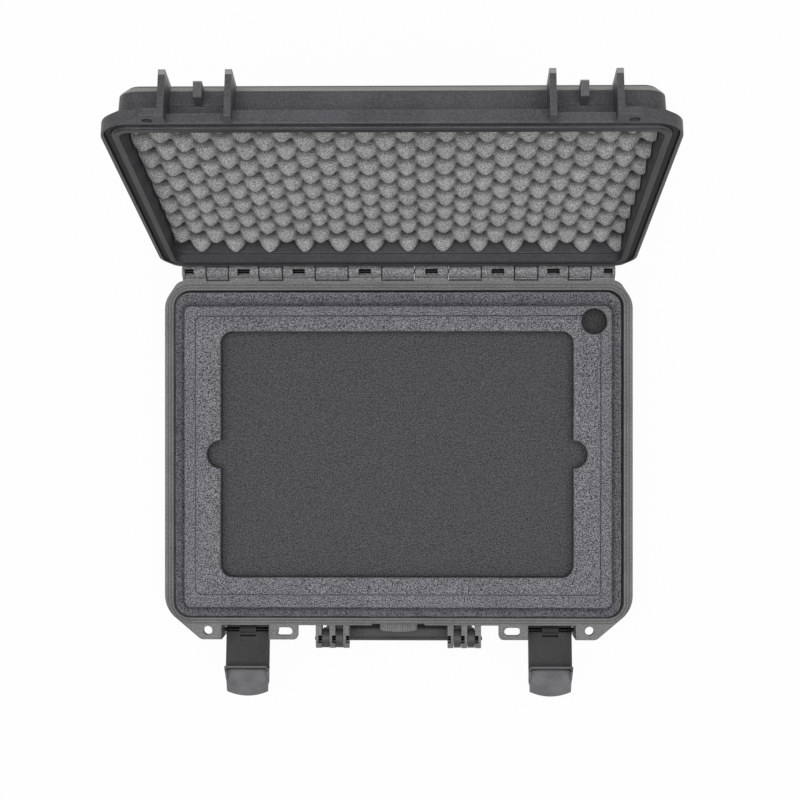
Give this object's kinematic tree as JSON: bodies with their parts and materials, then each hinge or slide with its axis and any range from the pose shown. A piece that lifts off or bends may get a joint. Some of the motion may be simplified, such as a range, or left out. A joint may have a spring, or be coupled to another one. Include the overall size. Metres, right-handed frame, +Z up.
{
  "type": "laptop hard case",
  "caption": "Watertight hard case for a laptop: hinged lid with convoluted foam, cut foam insert, pin-hinged latches, folding handle and pressure knob, shown open",
  "frame": {"origin": "centre of the resting face under the base, on the case's mid plane", "axes": "+Z up out of the open base, +Y towards the hinge, +X to the right seen from the front"},
  "size_m": [0.4758, 0.57, 0.4596],
  "materials": {
    "shell_plastic": "dark grey moulded polypropylene, fine grain",
    "lever_plastic": "dark grey moulded plastic, satin",
    "knob_plastic": "dark grey knurled plastic",
    "valve_plastic": "black moulded plastic",
    "seal_rubber": "black rubber",
    "membrane_white": "white porous membrane",
    "pin_steel": "plain steel rod",
    "base_foam": "dark grey closed-cell foam, speckled",
    "lid_foam": "grey open-cell convoluted foam"
  },
  "bodies": {
    "base": {"base_shell": "shell_plastic", "hinge_pin": "pin_steel", "latch_pin_left": "pin_steel", "latch_pin_right": "pin_steel", "handle_pin_left": "pin_steel", "handle_pin_right": "pin_steel", "valve_body": "valve_plastic", "valve_seal": "seal_rubber", "valve_nut": "valve_plastic", "valve_membrane": "membrane_white", "foam_surround": "base_foam", "foam_corner_post": "base_foam", "foam_tray_frame": "base_foam", "foam_tray_base": "base_foam"},
    "lid": {"lid_shell": "shell_plastic", "lid_gasket": "seal_rubber", "lid_foam": "lid_foam"},
    "latch_left": {"latch_left": "lever_plastic"},
    "latch_right": {"latch_right": "lever_plastic"},
    "handle": {"handle": "lever_plastic"},
    "valve_knob": {"valve_knob": "knob_plastic"}
  },
  "joints": [
    {"name": "lid_hinge", "type": "hinge", "parent": "base", "child": "lid", "pos_m": [0, 0.186, 0.0965], "axis": [1, 0, 0], "range_deg": [0, 104.2]},
    {"name": "latch_left_pivot", "type": "hinge", "parent": "base", "child": "latch_left", "pos_m": [-0.156, -0.1825, 0.07], "axis": [-1, 0, 0], "range_deg": [0, 80]},
    {"name": "latch_right_pivot", "type": "hinge", "parent": "base", "child": "latch_right", "pos_m": [0.156, -0.1825, 0.07], "axis": [-1, 0, 0], "range_deg": [0, 80]},
    {"name": "handle_pivot", "type": "hinge", "parent": "base", "child": "handle", "pos_m": [0, -0.189, 0.086], "axis": [-1, 0, 0], "range_deg": [-5, 110]},
    {"name": "valve_turn", "type": "hinge", "parent": "base", "child": "valve_knob", "pos_m": [0, -0.178, 0.072], "axis": [0, -1, 0], "range_deg": [0, 360]}
  ]
}
